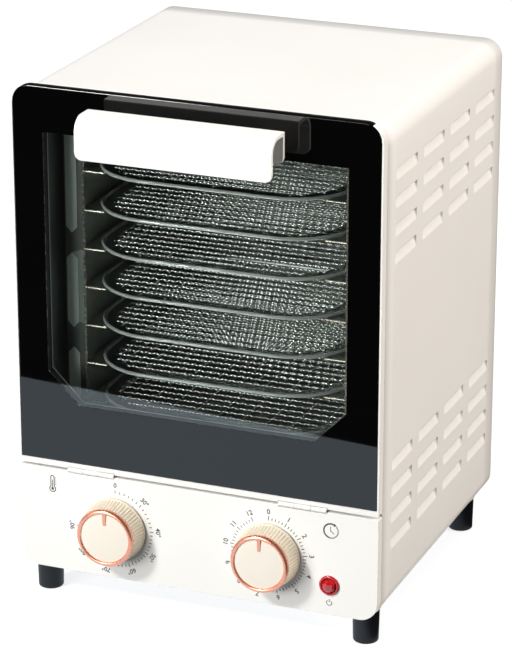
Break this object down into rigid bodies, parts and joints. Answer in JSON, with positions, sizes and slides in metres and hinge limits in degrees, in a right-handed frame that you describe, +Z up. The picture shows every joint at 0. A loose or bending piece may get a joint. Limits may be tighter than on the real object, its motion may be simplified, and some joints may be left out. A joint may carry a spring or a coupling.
{
  "type": "food dehydrator",
  "caption": "Countertop food dehydrator: cream steel cabinet with side louvres, drop-down glass door with a channel handle, sliding mesh trays, rear fan and two dial knobs.",
  "frame": {"origin": "middle of the outline, on the surface the feet stand on", "axes": "+X to the right seen from the front, +Y to the back, +Z up"},
  "size_m": [0.242, 0.264, 0.339],
  "materials": {
    "cream_paint": "smooth powder coat, satin",
    "cream_plastic": "moulded, satin gloss",
    "foot_plastic": "moulded, black, satin",
    "copper_trim": "metallised rose copper, polished",
    "dark_glass": "tempered, with a black enamelled border",
    "black_gasket": "matt silicone",
    "stainless": "brushed",
    "tray_steel": "electropolished wire and sheet",
    "zinc_steel": "galvanised sheet",
    "galvanised_hardware": "zinc plated",
    "fan_aluminium": "pressed sheet",
    "heater_steel": "heat-tinted sheath",
    "magnet_black": "ferrite",
    "black_plastic": "moulded, matt",
    "white_nylon": "moulded, matt",
    "lamp_red": "clear red, faceted"
  },
  "bodies": {
    "cabinet": {"cabinet_wrapper": "cream_paint", "base_pan": "zinc_steel", "back_panel": "zinc_steel", "front_frame": "cream_paint", "door_seal": "black_gasket", "door_magnet": "magnet_black", "cavity_liner": "stainless", "fan_cover": "stainless", "rack_left": "stainless", "rack_right": "stainless", "base_hinge_leaves": "cream_paint", "hinge_pins": "galvanised_hardware", "control_panel": "cream_paint", "thermostat_body": "white_nylon", "timer_body": "black_plastic", "lamp_lens": "lamp_red", "lamp_holder": "black_plastic", "heater_element": "heater_steel", "heater_clips": "galvanised_hardware", "fan_motor": "zinc_steel", "motor_straps": "zinc_steel", "thermal_cutout": "white_nylon", "terminal_block": "white_nylon", "cord_gland": "black_plastic", "feet": "foot_plastic", "foot_washers": "white_nylon", "foot_screws": "galvanised_hardware", "back_screws": "galvanised_hardware"},
    "door": {"door_glass": "dark_glass", "glass_gasket": "black_gasket", "door_frame": "cream_paint", "glass_setting_blocks": "black_gasket", "door_hinge_leaves": "cream_paint", "handle": "cream_paint", "handle_posts": "cream_paint", "handle_screws": "galvanised_hardware"},
    "temp_dial": {"temp_knob": "cream_plastic", "temp_knob_trim": "copper_trim", "temp_shaft": "galvanised_hardware"},
    "timer_dial": {"timer_knob": "cream_plastic", "timer_knob_trim": "copper_trim", "timer_shaft": "galvanised_hardware"},
    "fan": {"fan_wheel": "fan_aluminium", "fan_shaft": "galvanised_hardware"},
    "tray_1": {"tray_1_frame": "tray_steel", "tray_1_mesh": "tray_steel"},
    "tray_2": {"tray_2_frame": "tray_steel", "tray_2_mesh": "tray_steel"},
    "tray_3": {"tray_3_frame": "tray_steel", "tray_3_mesh": "tray_steel"},
    "tray_4": {"tray_4_frame": "tray_steel", "tray_4_mesh": "tray_steel"},
    "tray_5": {"tray_5_frame": "tray_steel", "tray_5_mesh": "tray_steel"},
    "tray_6": {"tray_6_frame": "tray_steel", "tray_6_mesh": "tray_steel"},
    "tray_7": {"tray_7_frame": "tray_steel", "tray_7_mesh": "tray_steel"}
  },
  "joints": [
    {"name": "door_hinge", "type": "hinge", "parent": "cabinet", "child": "door", "pos_m": [0, -0.0995, 0.0895], "axis": [1, 0, 0], "range_deg": [0, 90]},
    {"name": "temperature_dial", "type": "hinge", "parent": "cabinet", "child": "temp_dial", "pos_m": [-0.0555, -0.11, 0.054], "axis": [0, 1, 0], "range_deg": [0, 268]},
    {"name": "timer_dial_turn", "type": "hinge", "parent": "cabinet", "child": "timer_dial", "pos_m": [0.049, -0.11, 0.054], "axis": [0, 1, 0], "range_deg": [0, 333]},
    {"name": "fan_spin", "type": "hinge", "parent": "cabinet", "child": "fan", "pos_m": [0, 0.09, 0.215], "axis": [0, 1, 0], "continuous": true},
    {"name": "tray_1_slide", "type": "slide", "parent": "cabinet", "child": "tray_1", "axis": [0, -1, 0], "range_m": [0, 0.008]},
    {"name": "tray_2_slide", "type": "slide", "parent": "cabinet", "child": "tray_2", "axis": [0, -1, 0], "range_m": [0, 0.008]},
    {"name": "tray_3_slide", "type": "slide", "parent": "cabinet", "child": "tray_3", "axis": [0, -1, 0], "range_m": [0, 0.008]},
    {"name": "tray_4_slide", "type": "slide", "parent": "cabinet", "child": "tray_4", "axis": [0, -1, 0], "range_m": [0, 0.008]},
    {"name": "tray_5_slide", "type": "slide", "parent": "cabinet", "child": "tray_5", "axis": [0, -1, 0], "range_m": [0, 0.008]},
    {"name": "tray_6_slide", "type": "slide", "parent": "cabinet", "child": "tray_6", "axis": [0, -1, 0], "range_m": [0, 0.008]},
    {"name": "tray_7_slide", "type": "slide", "parent": "cabinet", "child": "tray_7", "axis": [0, -1, 0], "range_m": [0, 0.008]}
  ]
}
